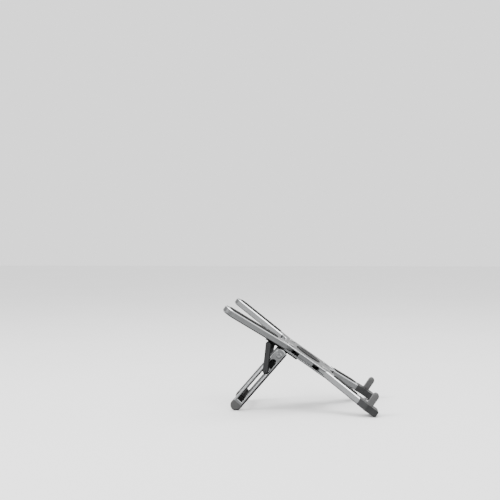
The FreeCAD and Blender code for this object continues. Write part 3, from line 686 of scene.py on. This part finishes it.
def pivot_pins():
    """The four arm pins: a turned tail under the hub, a shank and a head with a hexagonal socket."""
    low, high = box_in("arm_pins", TOP)
    top_face = HUB_HEIGHT / MM
    profile = [(low.z, PIN_HEAD - 1.4), (low.z, PIN_HEAD - 0.4), (low.z + 0.3, PIN_HEAD), (0, PIN_HEAD),
               (0, PIN_SHANK), (top_face, PIN_SHANK), (top_face, PIN_HEAD)]
    profile += socket(high.z, PIN_HEAD, PIN_SOCKET, PIN_SOCKET_DEEP)
    return turned("pivot_pins", profile, places_of("arm_pins", TOP, 0), "hub", "steel", ["arm_pins"])


SCREW_HEAD = 2.3
SCREW_SHANK = 1.25
SCREW_RISE = 0.8
SCREW_SOCKET = 1.0
SCREW_SOCKET_DEEP = 0.7


def cap_screws(name, node, axes, body):
    """Socket screws seen from below: a chamfered head with a hexagonal socket, and its shank."""
    low, high = box_in(node, axes)
    flip = Matrix.Rotation(math.pi, 4, "X")
    tip = SCREW_RISE - (high.z - low.z)
    profile = [(tip, SCREW_SHANK - 0.2), (tip + 0.3, SCREW_SHANK), (0, SCREW_SHANK), (0, SCREW_HEAD)]
    profile += socket(SCREW_RISE, SCREW_HEAD, SCREW_SOCKET, SCREW_SOCKET_DEEP)
    places = [place @ flip for place in places_of(node, axes, low.z + SCREW_RISE)]
    return turned(name, profile, places, body, "steel", [node], 36)


pivot_pins()
cap_screws("hub_socket_screws", "hub_screws", TOP, "hub")
cap_screws("bracket_socket_screws", "bracket_screws", TOP, "hub")
for side, _ in SIDES:
    cap_screws("front_%s_socket_screw" % side, "front_%s_screw" % side, arm_axes("front", side),
               "front_%s_arm_unit" % side)


def cross_pin(name, node, body, slot, radius, head, head_rise):
    """A rod across the stand, of a radius in millimetres, with a domed, dimpled head at each end."""
    low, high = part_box(node)
    half = (high.x - low.x) / 2 / MM
    inner = half - head_rise
    side_on = [(inner, radius), (inner, head), (half - head_rise * 0.5, head), (half - 0.06, head - 0.2),
               (half, head - 0.5), (half, head * 0.45), (half - 0.15, head * 0.3), (half - 0.2, 0.1)]
    profile = [(-z, r) for z, r in reversed(side_on)] + side_on
    place = Matrix.Translation((low + high) / 2) @ Matrix.Rotation(math.pi / 2, 4, "Y")
    return turned(name, profile, [place], body, slot, [node])


cross_pin("leg_hinge_pin", "hinge_rod", "hub", "leg_aluminium", radius=2.0, head=3.0, head_rise=0.5)
cross_pin("strut_slide_pin", "strut_rod", "strut_unit", "strut_metal", radius=0.8, head=1.5, head_rise=0.3)


# ---------------------------------------------------------------- stage, light and camera
def floor():
    """A plain pale floor, far wider than the view."""
    half = 6.0
    mesh = bpy.data.meshes.new("floor")
    corners = [(-half, -half, 0), (half, -half, 0), (half, half, 0), (-half, half, 0)]
    mesh.from_pydata(corners, [], [(0, 1, 2, 3)])
    made = bpy.data.objects.new("floor", mesh)
    bpy.context.scene.collection.objects.link(made)
    look, tree, shader, place = new_tree("floor_look")
    cloud = noise(tree, place, 300, 2)
    tree.links.new(blend_colors(tree, cloud, grey(0.86), grey(0.90)), shader.inputs["Base Color"])
    shader.inputs["Roughness"].default_value = 0.6
    shader.inputs["Specular IOR Level"].default_value = 0.2
    mesh.materials.append(look)


def softbox(name, place, size, power, aim=(0, 0, 0.05)):
    """A square area light that faces the aim."""
    data = bpy.data.lights.new(name, "AREA")
    data.shape = "SQUARE"
    data.size = size
    data.energy = power
    lamp = bpy.data.objects.new(name, data)
    lamp.location = place
    lamp.rotation_euler = (Vector(aim) - Vector(place)).to_track_quat("-Z", "Y").to_euler()
    bpy.context.scene.collection.objects.link(lamp)


def world(strength):
    """An even, pale surrounding light."""
    made = bpy.data.worlds.new("studio")
    made.use_nodes = True
    background = made.node_tree.nodes["Background"]
    background.inputs["Color"].default_value = (1, 1, 1, 1)
    background.inputs["Strength"].default_value = strength
    bpy.context.scene.world = made


# Where the camera stands in metres, its turn from +X and its rise in degrees, and its lens in millimetres.
CAMERA_PLACE = (-1.187, -0.03178, 0.1812)
CAMERA_YAW = 4.264
CAMERA_PITCH = -0.609
CAMERA_LENS = 79.33
SENSOR_WIDTH = 36


def camera():
    """The camera stands on the left of the stand, a little ahead of it, and looks nearly level."""
    data = bpy.data.cameras.new("camera")
    data.lens = CAMERA_LENS
    data.sensor_width = SENSOR_WIDTH
    made = bpy.data.objects.new("camera", data)
    made.location = CAMERA_PLACE
    yaw, pitch = math.radians(CAMERA_YAW), math.radians(CAMERA_PITCH)
    ahead = Vector((math.cos(pitch) * math.cos(yaw), math.cos(pitch) * math.sin(yaw), math.sin(pitch)))
    made.rotation_euler = ahead.to_track_quat("-Z", "Y").to_euler()
    data.clip_start, data.clip_end = 0.01, 50
    bpy.context.scene.collection.objects.link(made)
    bpy.context.scene.camera = made


floor()
world(1.6)
softbox("key", (-0.9, 1.1, 1.3), 0.9, 34)
softbox("top", (0.2, -0.3, 1.6), 1.2, 24)
softbox("fill", (-1.4, -0.8, 0.7), 1.0, 8)
camera()
